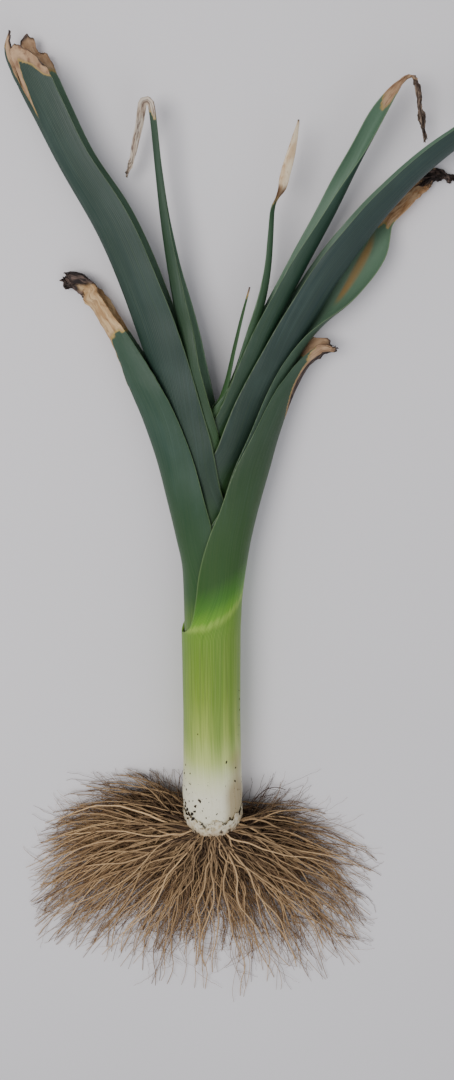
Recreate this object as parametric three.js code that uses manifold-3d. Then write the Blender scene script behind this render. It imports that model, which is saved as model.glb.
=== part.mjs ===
// A leek pulled with its roots on, lying on its side.
// Millimetres, +Z up, +Y from the roots to the leaf tips, the leaves fanned out level with the surface.
// Nine leaves: each is one piece, a closed tube (the sheath) low down that opens into a folded blade.
// The tubes nest in each other and together make the white shaft. A basal plate holds them and the roots.
import * as THREE from 'three';
import { mergeVertices } from 'three/addons/utils/BufferGeometryUtils.js';
import Module from 'manifold-3d';

const wasm = await Module();
wasm.setup();

// Driving dimensions
const BULB_RADIUS = 26;
const SHAFT_RADIUS = 23.3;
const AXIS_HEIGHT = 25.3;       // the shaft's axis above the surface: the bulb is pressed 0.7 mm flat
const RESTING_SPOT_Y = 28;      // the bulb's widest place, measured up the shaft from the basal plate
const SHEATH_STEP = 2.4;        // from one nested tube's outside to the next
const SHEATH_THICKNESS = 1.65;
const BLADE_THICKNESS = 1.2;
const SHARPEST_FOLD = 1.35;     // the fold's roundness at a blade's tip: 2 is an ellipse, 1 a straight-sided V
const SHARPENING = 1.7;         // a fold starts to sharpen at 1 / this of the way from the tip to the foot
const SLIMMEST = 0.65;          // a blade's thickness is at most this share of its half width or its depth
const SHARPEST_CORNER = 0.6;    // the cosine past which a corner of the section is no longer mitred
const CLEARANCE = 0.25;         // kept between pieces that touch
const SHEATH_FOOT = 5;          // where the tubes stand on the basal plate

// The shaft's outer radius, as [height above the basal plate's top edge, radius]
const SHAFT_PROFILE = [
  [SHEATH_FOOT, 20.4], [14, 24.6], [RESTING_SPOT_Y, BULB_RADIUS], [60, 24.5], [110, 23.5], [170, SHAFT_RADIUS],
];

// Leaves from the outermost in. side: +1 right, -1 left. Each station along a blade is
// [keel x, keel y, keel z, depth, gape, wrap, twist]: the keel is the leaf's midrib, depth how far the fold
// goes in from it, gape half the opening between its margins, wrap 1 for a closed tube and 0 for an open
// fold, twist in degrees, which turns the fold's opening up.
const LEAVES = [
  { name: 'leaf_right_outer', side: 1, columns: 12, throat: 188, stations: [
    [23.6, 198, 25.3, 23.5, 23.1, 0.52, 0], [24.7, 222, 25.3, 24.8, 22.9, 0.3, 0],
    [29.5, 260, 25.2, 33, 22.2, 0.03, 0], [35.5, 290, 24.8, 29.2, 20.5, 0, 0],
    [43, 320, 24, 26, 18, 0, 0], [50, 348, 23.2, 19.5, 15.5, 0, 0], [58.5, 374, 21.8, 15, 12.5, 0, 0],
    [67, 392, 20, 11, 9, 0, 5], [73.5, 399.5, 19, 10.5, 8, 0, 10], [79.5, 403.5, 18, 10, 6.5, 0, 15],
    [85, 404.5, 17, 7.5, 5, 0, 20], [90, 406, 16, 3.5, 3, 0, 30]] },
  { name: 'leaf_left_outer', side: -1, columns: 12, throat: 215, stations: [
    [-21.6, 245, 25.3, 21.8, 20.6, 0.25, 0], [-25.5, 268, 25.2, 29, 20, 0, 0],
    [-31.5, 298, 24.8, 28.5, 18.4, 0, 0], [-38.5, 330, 24, 27, 15.8, 0, 0],
    [-48, 361, 23, 24.5, 13, 0, 0], [-57, 384, 21.5, 21.5, 11, 0, 0], [-62.5, 400, 19, 17, 9.5, 0, 0],
    [-67.5, 412, 16, 14, 8.2, 0, 0], [-74.5, 424, 12.6, 12.5, 7.4, 0, 5],
    [-81, 434.5, 9.2, 12, 7, 0, 8], [-86.2, 441.8, 7, 12, 6, 0, 5], [-88.8, 445, 6, 11.5, 5.5, 0, 0],
    [-92.5, 446.4, 5.5, 10.5, 5, 0, 0], [-97, 446.2, 5, 9.5, 4.5, 0, 0], [-100, 446.5, 4.5, 6, 4, 0, 0]] },
  { name: 'leaf_right_second', side: 1, columns: 12, throat: 250, stations: [
    [20.5, 272, 25.3, 18.6, 18, 0.25, 0], [27, 292, 25, 19.5, 16.8, 0, 0],
    [34, 320, 24.4, 18, 15, 0, 0], [42.5, 348, 23.4, 14.5, 13, 0, 0],
    [50.5, 375, 22, 11.5, 10.8, 0, 0], [58, 393, 20.5, 9.5, 9.3, 0, 0], [66, 409, 18.5, 9, 9, 0, 15],
    [76, 424, 15.5, 10.5, 11, 0, 35], [91, 446, 12, 10, 13.5, 0, 65], [104, 472, 9.5, 8, 15, 0, 75],
    [114, 491, 7, 6, 9.5, 0, 75], [125, 501.5, 5.5, 4.5, 9, 0, 70], [137, 511, 4, 3.4, 7.5, 0, 65],
    [146, 516, 3, 2.4, 5, 0, 60], [154, 517, 2.2, 1.6, 2.6, 0, 60], [163, 515, 1.4, 0.9, 1.1, 0, 60]] },
  { name: 'leaf_left_second', side: -1, columns: 12, throat: 272, stations: [
    [-17.2, 286, 25.3, 17, 16, 0.5, 0], [-20.5, 303, 25.1, 26, 15.5, 0.1, 0],
    [-25.5, 334, 24.5, 29, 14.2, 0, 0], [-32, 361, 23.6, 28.5, 12.8, 0, 0],
    [-40, 390, 22, 28.5, 12, 0, 0], [-48.5, 418, 20.8, 28.5, 11.5, 0, 2],
    [-60.5, 454, 20, 27, 11.5, 0, 3], [-73.5, 485, 19.5, 26, 11, 0, 3],
    [-93.5, 521.5, 18.5, 22.5, 10.5, 0, 3], [-107, 549, 17.5, 23, 10.5, 0, 3],
    [-117.5, 570.5, 16.5, 24, 10.5, 0, 3], [-122.3, 584, 15.5, 23.5, 10, 0, 3],
    [-121.6, 592, 15.2, 21, 9.5, 0, 3], [-118.5, 600.5, 15, 16.5, 8.5, 0, 3]] },
  { name: 'leaf_right_third', side: 1, columns: 12, throat: 292, stations: [
    [14.2, 303, 25.3, 14.2, 13.6, 0.6, 0], [19.5, 318, 25, 19.5, 13.4, 0.15, 0],
    [27, 335, 24.5, 22.5, 12.6, 0, 0], [34.5, 352, 23.5, 23.5, 11.6, 0, 0],
    [41.5, 369, 22.2, 23, 10.6, 0, 0], [54.5, 395, 20.8, 22, 10, 0, 0],
    [62, 410, 21.5, 21.5, 9.6, 0, 0], [73.5, 431, 24, 21, 9.5, 0, 0], [84, 450, 26, 20, 9.5, 0, 0],
    [96, 468.5, 27.5, 18.5, 9.5, 0, 0], [109.5, 487.5, 28, 16.5, 9.5, 0, 0],
    [122, 502.5, 28, 14.5, 9.5, 0, 0], [134, 515, 27, 13, 9.5, 0, 0], [149, 527.5, 25, 12, 9, 0, 0],
    [168, 541, 22, 10.5, 8, 0, 0], [188, 554, 18.5, 8.5, 6.5, 0, 0], [206, 564, 15, 6, 4.5, 0, 0],
    [221, 571, 11.5, 2.5, 2.5, 0, 0]] },
  { name: 'leaf_left_inner', side: -1, columns: 8, throat: 330, stations: [
    [-11.5, 347, 25.2, 12, 11, 0.4, 0], [-13.2, 368, 24.6, 15, 9.8, 0.05, 8],
    [-17, 396, 23.5, 14, 8.5, 0, 15], [-21.5, 426, 22, 12, 6.5, 0, 15],
    [-26.5, 458, 21.5, 8.5, 5, 0, 10], [-30.5, 490, 21, 6, 4, 0, 5], [-33, 520, 21, 4.5, 3.2, 0, 0],
    [-34.8, 545, 21, 4, 3, 0, 0], [-36, 555.5, 21, 4.2, 2.4, 0, 0], [-36.9, 557.2, 20.8, 5, 2, 0, 0],
    [-37.4, 554.5, 20.4, 5.2, 1.8, 0, 0], [-39.6, 546.2, 19, 4.6, 1.8, 0, 0],
    [-43.3, 535, 16.5, 4.2, 1.8, 0, 0], [-46.3, 526.8, 14.5, 3, 1.6, 0, 0],
    [-51.8, 516, 12.5, 1, 1.2, 0, 0]] },
  { name: 'leaf_right_fourth', side: 1, columns: 8, throat: 326, stations: [
    [9.8, 341, 25.3, 9.4, 8.8, 0.4, 0], [15.5, 354, 25, 12, 8.4, 0.1, 0], [22.5, 370, 24, 13, 8, 0, 0],
    [30, 388, 23.5, 13, 7.6, 0, 0], [37.5, 406, 24, 13, 7.2, 0, 0], [45.5, 424, 25, 12.5, 7, 0, 0],
    [64, 461, 26, 11.5, 7, 0, 5], [84, 500, 25, 9.5, 7, 0, 20], [98, 534, 23, 6.5, 5.5, 0, 60],
    [107, 551, 22, 5.5, 4.8, 0, 60], [115.5, 564, 21, 4, 3.4, 0, 50],
    [120.8, 570.2, 20, 2.2, 2, 0, 40], [124, 572.6, 19.6, 1.3, 1.2, 0, 40],
    [127.2, 571.2, 19, 1.4, 1.3, 0, 40], [129.6, 566, 18.2, 1.9, 1.6, 0, 40],
    [131, 557.5, 17, 2.1, 1.8, 0, 40], [134, 548, 14, 2.1, 1.8, 0, 40],
    [138.5, 537.5, 10, 1, 1.2, 0, 40]] },
  { name: 'leaf_heart_dry_tip', side: 1, columns: 8, throat: 348, stations: [
    [10, 361, 25.3, 6.6, 6.1, 0.5, 0], [17, 375, 25, 6.6, 5.6, 0.1, 0],
    [23, 389, 24.8, 6.4, 5.2, 0, 0], [32.5, 420, 25.5, 6.2, 4.4, 0, 0],
    [38.5, 442, 26, 5.4, 3.6, 0, 0], [41.5, 462, 26, 4.4, 3, 0, 0], [42.5, 482, 26, 3.6, 2.6, 0, 0],
    [43, 497, 26, 2.8, 2.2, 0, 0], [45, 503.5, 26, 2, 1.4, 0, 0], [49.8, 509.5, 26, 5.4, 2, 0, 0],
    [52.3, 518, 26, 6.2, 2.2, 0, 0], [54.6, 527.5, 25.5, 5.6, 2, 0, 0],
    [56.3, 538, 25, 3.8, 1.6, 0, 0], [57.2, 549, 24, 0.9, 0.9, 0, 0]] },
  { name: 'heart_spear', side: -1, columns: 6, throat: 345, stations: [
    [1.5, 362, 25.3, 3.7, 3.8, 0.6, 0], [6.5, 374, 25.5, 3.4, 3.5, 0.3, 0],
    [11.2, 388, 26, 3, 3.1, 0.1, 0], [16.5, 411, 26.5, 2.4, 2.4, 0, 0],
    [21.5, 431, 27, 1.8, 1.8, 0, 0], [27, 450, 27, 0.9, 1, 0, 0]] },
];
const RING_SPACING = 20;        // about how far apart the rings of a blade stand
const OPENING_STEP = 0.2;       // how much a tube may open from one ring to the next

// Basal plate: the stem's flat disc, as [radius, height] from its underside's middle to its top
const PLATE_PROFILE = [[0, -4], [9, -3.4], [15, -1], [18.6, 2.4], [19, 4.6], [0, 4.6]];
const PLATE_SIDES = 16;

// Roots: strands that spring from the basal plate, fall to the surface and fan out on it.
// Their reach is given all round as [degrees from straight back, millimetres], left being negative.
const ROOT_REACH = [
  [-136, 60], [-107, 112], [-90, 140], [-78, 162], [-62, 205], [-50, 262], [-38, 250], [-30, 236],
  [-12, 255], [2, 268], [20, 262], [34, 258], [47, 215], [61, 182], [80, 110], [106, 66],
];
const ROOT_COUNT = 56;
const ROOT_RADIUS = 1.25;
const ROOT_TIP_RADIUS = 0.6;
const ROOT_JOINTS = 6;
const ROOT_SEED = 11;
const ROOT_CROWDING = 0.6;            // 1 spreads the strands evenly, less crowds them straight back
const ROOT_SCATTER = 5;               // degrees by which a strand may stray
const ROOT_LENGTHS = [0.74, 1.02];    // shortest and longest, as shares of the reach
const ROOT_START_RADIUS = 14;         // how far out on the plate the strands start
const ROOT_ROW_GAP = 9;               // the strands start in three rows, this far apart in height
const ROOT_LEAVING = 20;              // how far a strand runs out before it bends down
const ROOT_FLARE = 8;                 // how far the upper and the lower row spread as they leave
const ROOT_LANDING = [0.3, 0.5];      // where a strand comes down, as a share of its reach
const ROOT_LANDING_HEIGHT = 4;        // for the lowest row, the next ones coming down higher
const ROOT_LANDING_STEP = 5;
const ROOT_WAVER = [1.5, 4.5];        // how far a strand sways to the sides
const ROOT_WAVE_TURN = 1.9;           // radians of the sway from one joint to the next

const mix = THREE.MathUtils.lerp;
const clamp = THREE.MathUtils.clamp;

// A uniform Catmull-Rom spline through rows of numbers, every column at once
function along(rows, t) {
  const i = clamp(Math.floor(t), 0, rows.length - 2);
  const u = t - i;
  const row = (k) => rows[clamp(k, 0, rows.length - 1)];
  const [a, b, c, d] = [row(i - 1), row(i), row(i + 1), row(i + 2)];
  return b.map((_, k) => {
    const slope = c[k] - a[k];
    const next = d[k] - b[k];
    return b[k] + u * (slope / 2 + u * (3 * (c[k] - b[k]) - slope - next / 2
      + u * (2 * (b[k] - c[k]) + (slope + next) / 2)));
  });
}

function shaftRadius(y) {
  const i = SHAFT_PROFILE.findIndex(([top]) => top >= y);
  if (i < 0) return SHAFT_RADIUS;
  if (i === 0) return SHAFT_PROFILE[0][1];
  const [[y0, r0], [y1, r1]] = [SHAFT_PROFILE[i - 1], SHAFT_PROFILE[i]];
  return mix(r0, r1, (y - y0) / (y1 - y0));
}

// The leaf's rings from foot to tip
function ringsOf(leaf, order) {
  const share = (SHAFT_RADIUS - order * SHEATH_STEP) / SHAFT_RADIUS;
  const heights = SHAFT_PROFILE.map(([y]) => y).filter((y) => y < leaf.throat - RING_SPACING);
  const sheath = [...heights, leaf.throat].map((y) => {
    const r = shaftRadius(y) * share;
    return [leaf.side * r, y, AXIS_HEIGHT, r, r, 1, 0];
  });
  const rows = [sheath[sheath.length - 1], ...leaf.stations];
  const blade = [];
  for (let k = 0; k < rows.length - 1; k += 1) {
    const [from, to] = [rows[k], rows[k + 1]];
    const apart = Math.hypot(to[0] - from[0], to[1] - from[1]) / RING_SPACING;
    const opening = Math.abs(to[5] - from[5]) / OPENING_STEP;
    const steps = Math.max(1, Math.round(apart), Math.ceil(opening));
    for (let j = 1; j <= steps; j += 1) blade.push(along(rows, k + j / steps));
  }
  const all = [...sheath, ...blade];
  return all.map(([x, y, z, depth, gape, wrap, twist], k) => {
    const [before, after] = [all[Math.max(k - 1, 0)], all[Math.min(k + 1, all.length - 1)]];
    const tangent = new THREE.Vector3(after[0] - before[0], after[1] - before[1], after[2] - before[2]).normalize();
    const closing = clamp(wrap, 0, 1);
    tangent.lerp(new THREE.Vector3(0, 1, 0), closing).normalize();
    return {
      keel: new THREE.Vector3(x, y, z), tangent, depth, gape, wrap: closing,
      twist: THREE.MathUtils.degToRad(twist), closed: k < sheath.length, share: k / (all.length - 1),
    };
  });
}

// A ring's section in its own plane: points [in from the keel, across], outer then inner face.
// A tube's section is round, and a blade's fold gets sharper towards the tip.
function sectionOf(ring, columns, grow) {
  const end = (1 + ring.wrap) * Math.PI / 2;
  const roundness = mix(SHARPEST_FOLD, 2, clamp(SHARPENING * (1 - ring.share), ring.wrap, 1));
  const power = (v) => Math.sign(v) * Math.abs(v) ** (2 / roundness);
  const outer = [];
  for (let j = 0; j <= columns; j += 1) {
    const angle = mix(-end, end, j / columns);
    outer.push(new THREE.Vector2(ring.depth * (1 - power(Math.cos(angle))), ring.gape * power(Math.sin(angle))));
  }
  const slim = SLIMMEST * Math.min(ring.gape, ring.depth);
  const thickness = Math.min(mix(BLADE_THICKNESS, SHEATH_THICKNESS, ring.wrap), slim);
  const inward = outer.map((p, j) => {
    const seam = ring.closed && (j === 0 || j === columns);
    const before = seam ? outer[columns - 1] : outer[Math.max(j - 1, 0)];
    const after = seam ? outer[1] : outer[Math.min(j + 1, columns)];
    const a = p.clone().sub(before);
    const b = after.clone().sub(p);
    if (a.length() < 1e-6) a.copy(b);
    if (b.length() < 1e-6) b.copy(a);
    a.normalize();
    b.normalize();
    const t = a.add(b).normalize();
    const miter = 1 / clamp(Math.abs(t.dot(b)), SHARPEST_CORNER, 1);
    return new THREE.Vector2(t.y, -t.x).multiplyScalar(miter);
  });
  const face = (depth) => outer.map((p, j) => {
    const at = p.clone().addScaledVector(inward[j], depth);
    if (ring.closed || (j > 0 && j < columns)) return at;
    return at.addScaledVector(new THREE.Vector2(-inward[j].y, inward[j].x), j === 0 ? -grow : grow);
  });
  return { outer: face(-grow), inner: face(thickness + grow) };
}

function solidFrom(positions, triangles) {
  const geometry = new THREE.BufferGeometry();
  geometry.setAttribute('position', new THREE.Float32BufferAttribute(positions, 3));
  geometry.setIndex(triangles);
  return solidOf(geometry);
}

function solidOf(geometry) {
  geometry.deleteAttribute('normal');
  geometry.deleteAttribute('uv');
  const merged = mergeVertices(geometry, 1e-3);
  const triVerts = [];
  for (let k = 0; k < merged.index.count; k += 3) {
    const [a, b, c] = merged.index.array.slice(k, k + 3);
    if (a !== b && b !== c && c !== a) triVerts.push(a, b, c);
  }
  const mesh = new wasm.Mesh({
    numProp: 3,
    vertProperties: new Float32Array(merged.attributes.position.array),
    triVerts: new Uint32Array(triVerts),
  });
  return new wasm.Manifold(mesh);
}

// A leaf as one closed solid, its faces moved out by grow
function leafSolid(leaf, order, grow = 0) {
  const rings = ringsOf(leaf, order);
  const { columns } = leaf;
  const positions = [];
  const count = 2 * (columns + 1);
  const up = new THREE.Vector3(0, 0, 1);
  for (const ring of rings) {
    const front = up.clone().addScaledVector(ring.tangent, -up.dot(ring.tangent)).normalize();
    const level = front.clone().cross(ring.tangent).multiplyScalar(leaf.side);
    const inwards = level.clone().multiplyScalar(Math.cos(ring.twist)).addScaledVector(front, Math.sin(ring.twist));
    const across = front.clone().multiplyScalar(Math.cos(ring.twist)).addScaledVector(level, -Math.sin(ring.twist));
    const { outer, inner } = sectionOf(ring, columns, grow);
    for (const p of [...outer, ...inner]) {
      const at = ring.keel.clone().addScaledVector(inwards, p.x).addScaledVector(across, p.y);
      positions.push(at.x, at.y, at.z);
    }
  }
  const triangles = [];
  const quad = (a, b, c, d) => {
    if (leaf.side > 0) triangles.push(a, c, b, a, d, c);
    else triangles.push(a, b, c, a, c, d);
  };
  const outerAt = (k, j) => k * count + j;
  const innerAt = (k, j) => k * count + columns + 1 + j;
  const last = rings.length - 1;
  for (let k = 0; k < last; k += 1) {
    for (let j = 0; j < columns; j += 1) {
      quad(outerAt(k, j), outerAt(k, j + 1), outerAt(k + 1, j + 1), outerAt(k + 1, j));
      quad(innerAt(k, j + 1), innerAt(k, j), innerAt(k + 1, j), innerAt(k + 1, j + 1));
    }
    if (rings[k].closed && rings[k + 1].closed) continue;
    quad(innerAt(k, 0), outerAt(k, 0), outerAt(k + 1, 0), innerAt(k + 1, 0));
    quad(outerAt(k, columns), innerAt(k, columns), innerAt(k + 1, columns), outerAt(k + 1, columns));
  }
  for (let j = 0; j < columns; j += 1) {
    quad(outerAt(0, j + 1), outerAt(0, j), innerAt(0, j), innerAt(0, j + 1));
    quad(outerAt(last, j), outerAt(last, j + 1), innerAt(last, j + 1), innerAt(last, j));
  }
  return solidFrom(positions, triangles);
}

// A repeatable stream of numbers from 0 to 1
function numbersFrom(seed) {
  let state = seed;
  return () => {
    state = (state * 1664525 + 1013904223) % 4294967296;
    return state / 4294967296;
  };
}

function rootReach(angle) {
  const i = clamp(ROOT_REACH.findIndex(([at]) => at >= angle), 1, ROOT_REACH.length - 1);
  const [[a0, r0], [a1, r1]] = [ROOT_REACH[i - 1], ROOT_REACH[i]];
  return mix(r0, r1, clamp((angle - a0) / (a1 - a0), 0, 1));
}

// One three-sided strand through the points, thinner towards its tip
function strandSolid(points) {
  const positions = [];
  const last = points.length - 1;
  points.forEach((point, k) => {
    const ahead = points[Math.min(k + 1, last)].clone().sub(points[Math.max(k - 1, 0)]).normalize();
    const aside = ahead.clone().cross(new THREE.Vector3(0, 0, 1)).normalize();
    const above = aside.clone().cross(ahead);
    const radius = mix(ROOT_RADIUS, ROOT_TIP_RADIUS, k / last);
    for (let j = 0; j < 3; j += 1) {
      const turn = (j / 3) * 2 * Math.PI + Math.PI / 2;
      const at = point.clone().addScaledVector(aside, radius * Math.cos(turn));
      at.addScaledVector(above, radius * Math.sin(turn));
      positions.push(at.x, at.y, at.z);
    }
  });
  const triangles = [0, 1, 2];
  for (let k = 0; k < last; k += 1) {
    for (let j = 0; j < 3; j += 1) {
      const [a, b] = [k * 3 + j, k * 3 + ((j + 1) % 3)];
      triangles.push(a, a + 3, b + 3, a, b + 3, b);
    }
  }
  triangles.push(last * 3, last * 3 + 2, last * 3 + 1);
  return solidFrom(positions, triangles);
}

// The strands leave the plate's underside, bend down and then run wavering along the surface
function rootStrands() {
  const random = numbersFrom(ROOT_SEED);
  const strands = [];
  const [first, final] = [ROOT_REACH[0][0], ROOT_REACH[ROOT_REACH.length - 1][0]];
  for (let k = 0; k < ROOT_COUNT; k += 1) {
    const share = (k + 0.5) / ROOT_COUNT;
    const angle = mix(first, final, share) * mix(ROOT_CROWDING, 1, Math.abs(2 * share - 1))
      + ROOT_SCATTER * (random() - 0.5);
    const heading = THREE.MathUtils.degToRad(angle);
    const reach = rootReach(angle) * mix(...ROOT_LENGTHS, random());
    const high = (k % 3) - 1;
    const startHeight = AXIS_HEIGHT + ROOT_ROW_GAP * high;
    const start = new THREE.Vector3(ROOT_START_RADIUS * Math.sin(heading * 0.8), 0.5, startHeight);
    const end = new THREE.Vector3(reach * Math.sin(heading), -reach * Math.cos(heading), 0.5 * ROOT_TIP_RADIUS);
    const leaving = new THREE.Vector3(ROOT_LEAVING * Math.sin(heading), -ROOT_LEAVING, ROOT_FLARE * high);
    const leave = start.clone().add(leaving);
    const land = end.clone().multiplyScalar(mix(...ROOT_LANDING, random()));
    land.z = ROOT_LANDING_HEIGHT + ROOT_LANDING_STEP * (high + 1);
    const curve = new THREE.CubicBezierCurve3(start, leave, land, end);
    const waver = mix(...ROOT_WAVER, random());
    const phase = 2 * Math.PI * random();
    const points = curve.getPoints(ROOT_JOINTS).map((point, j) => {
      const sway = waver * Math.sin(phase + ROOT_WAVE_TURN * j) * (j / ROOT_JOINTS);
      point.x += sway * Math.cos(heading);
      point.y += sway * Math.sin(heading);
      point.z = Math.max(point.z, 0.5 * mix(ROOT_RADIUS, ROOT_TIP_RADIUS, j / ROOT_JOINTS));
      return point;
    });
    strands.push(strandSolid(points));
  }
  return strands;
}

function largestOf(solid) {
  return solid.decompose().sort((a, b) => b.volume() - a.volume())[0];
}

function aboveSurface(solid) {
  return solid.trimByPlane([0, 0, 1], 0);
}

// Each leaf gives way where an outer one presses on it, so that no two share the same room
const leafSolids = [];
LEAVES.forEach((leaf, order) => {
  let solid = aboveSurface(leafSolid(leaf, order));
  for (let outer = 0; outer < order; outer += 1) {
    if (solid.intersect(leafSolids[outer]).volume() > 0) {
      solid = solid.subtract(leafSolid(LEAVES[outer], outer, CLEARANCE));
    }
  }
  leafSolids.push(largestOf(solid));
});

const plateOutline = PLATE_PROFILE.map(([radius, y]) => new THREE.Vector2(radius, y));
const plate = solidOf(new THREE.LatheGeometry(plateOutline, PLATE_SIDES)).translate([0, 0, AXIS_HEIGHT]);
const bulbWithRoom = leafSolid(LEAVES[0], 0, CLEARANCE).add(leafSolid(LEAVES[1], 1, CLEARANCE));
const rootMop = wasm.Manifold.union([plate, ...rootStrands()]).subtract(bulbWithRoom);
const rootSolid = largestOf(aboveSurface(rootMop));

const leafMaterial = new THREE.MeshStandardMaterial({ color: 0x47645a, roughness: 0.5, metalness: 0, name: 'leaf' });
const rootMaterial = new THREE.MeshStandardMaterial({ color: 0xa3835f, roughness: 0.9, metalness: 0, name: 'root' });

function meshFrom(solid, name, material) {
  const { vertProperties, triVerts } = solid.translate([0, -RESTING_SPOT_Y, 0]).getMesh();
  const geometry = new THREE.BufferGeometry();
  geometry.setAttribute('position', new THREE.Float32BufferAttribute(vertProperties, 3));
  geometry.setIndex(Array.from(triVerts));
  geometry.computeVertexNormals();
  const mesh = new THREE.Mesh(geometry, material);
  mesh.name = name;
  return mesh;
}

const leek = new THREE.Group();
leek.name = 'leek';
leek.add(meshFrom(rootSolid, 'roots', rootMaterial));
leafSolids.forEach((solid, k) => leek.add(meshFrom(solid, LEAVES[k].name, leafMaterial)));

export default leek;
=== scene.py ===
import math

import bpy
import numpy as np
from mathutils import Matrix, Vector


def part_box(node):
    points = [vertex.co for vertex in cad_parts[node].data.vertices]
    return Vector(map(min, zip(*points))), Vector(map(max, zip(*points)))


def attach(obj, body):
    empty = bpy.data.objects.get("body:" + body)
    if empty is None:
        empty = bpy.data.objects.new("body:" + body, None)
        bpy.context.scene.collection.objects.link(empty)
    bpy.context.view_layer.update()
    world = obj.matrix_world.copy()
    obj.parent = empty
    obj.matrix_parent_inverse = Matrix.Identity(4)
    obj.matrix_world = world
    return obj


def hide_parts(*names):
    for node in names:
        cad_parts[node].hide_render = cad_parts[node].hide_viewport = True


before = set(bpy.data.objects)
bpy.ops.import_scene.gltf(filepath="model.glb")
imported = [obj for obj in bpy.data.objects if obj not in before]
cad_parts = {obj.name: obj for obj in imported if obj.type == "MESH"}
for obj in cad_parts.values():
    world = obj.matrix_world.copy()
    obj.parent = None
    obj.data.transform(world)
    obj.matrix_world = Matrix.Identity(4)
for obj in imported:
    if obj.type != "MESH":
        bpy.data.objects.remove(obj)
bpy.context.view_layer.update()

# Growth measures, in millimetres from the basal plate up the shaft
MM = 0.001
RESTING_SPOT_Y = 28
AXIS_HEIGHT = 25.3
SHAFT_RADIUS = 23.3
TOP_OF_BULB = 51.25
SHEATH_STEP = 2.4
SHEATH_FOOT = 5
SHEATH_THICKNESS = 1.65
BLADE_THICKNESS = 1.2
SHARPEST_FOLD = 1.35
SHAFT_PROFILE = [(5, 20.4), (14, 24.6), (28, 26), (60, 24.5), (110, 23.5), (170, 23.3)]
RING_SPACING = 20
OPENING_STEP = 0.2
LONGEST_RISE = 700

# Fineness of the grown surface, and how many waves an unevenness adds up
FINE_SPACING = 2.5
MARGIN_THINNESS = 0.45
WAVE_COUNT = 7

# How a blade's margins waver, its torn end is drawn in and its dry end creases. A crease is
# (wavelength, crest, depth, seed).
MARGIN_WAVELENGTH = 45
MARGIN_WAVE = 0.5
MARGIN_RUN_IN = 90
TEAR_REACH = 2.2
TEAR_RUN_IN = 8
FOLD_WAVELENGTH = 11
FOLD_DEPTH = 0.7
CREASES = [(6, 0.5, 0.8, 10), (3.4, 0.4, 0.4, 20)]
EDGE_ROLL = 0.9

# How near a leaf's faces come to the surface, how far its fresh colours lag at the keel, and the half width
# that its unevenness is laid out on
LOWEST_OUTER = 0.02
LOWEST_INNER = 0.3
KEEL_LAG = 34
HALF_BLADE = 12

# Where past the throat the veins spread out and come free of the sheath, and what share of it they then take
VEINS_SPREAD = (10, 170)
VEINS_FREE = 60
BLADE_SHARE = 0.55

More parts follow.
